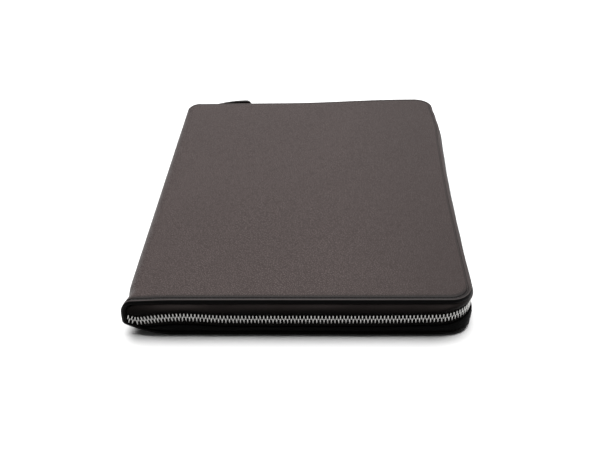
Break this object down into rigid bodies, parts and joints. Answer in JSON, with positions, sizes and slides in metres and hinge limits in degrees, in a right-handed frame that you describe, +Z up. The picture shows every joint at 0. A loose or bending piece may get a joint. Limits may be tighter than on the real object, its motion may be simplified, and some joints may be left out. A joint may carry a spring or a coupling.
{
  "type": "leather document case",
  "caption": "Slim zip-around document case in dark brown pebbled leather, lying flat and closed, with a metal zip round its three open sides and a short leather pull.",
  "frame": {"origin": "The middle of the case's footprint, on the surface it lies on.", "axes": "+Y runs along the spine towards the end with the zip slider, +X runs from the spine to the zip side, +Z is up, away from the surface that the case lies on."},
  "size_m": [0.2598, 0.3516, 0.0322],
  "materials": {
    "cover_leather": "semi-matt pebble grain, dark brown, with a smooth dark painted edge",
    "gusset_leather": "fine-grained, slightly glossy, near black brown",
    "pull_leather": "smooth, semi-matt, stitched along its edges",
    "zip_tape": "dark herringbone-woven tape",
    "zip_metal": "bright nickel plate"
  },
  "bodies": {
    "root": {"cover": "cover_leather", "gusset_upper": "gusset_leather", "gusset_lower": "gusset_leather", "zip_tape_upper": "zip_tape", "zip_tape_lower": "zip_tape", "zip_chain": "zip_metal", "zip_slider": "zip_metal", "pull_link": "zip_metal", "pull_strap": "pull_leather"}
  },
  "joints": []
}
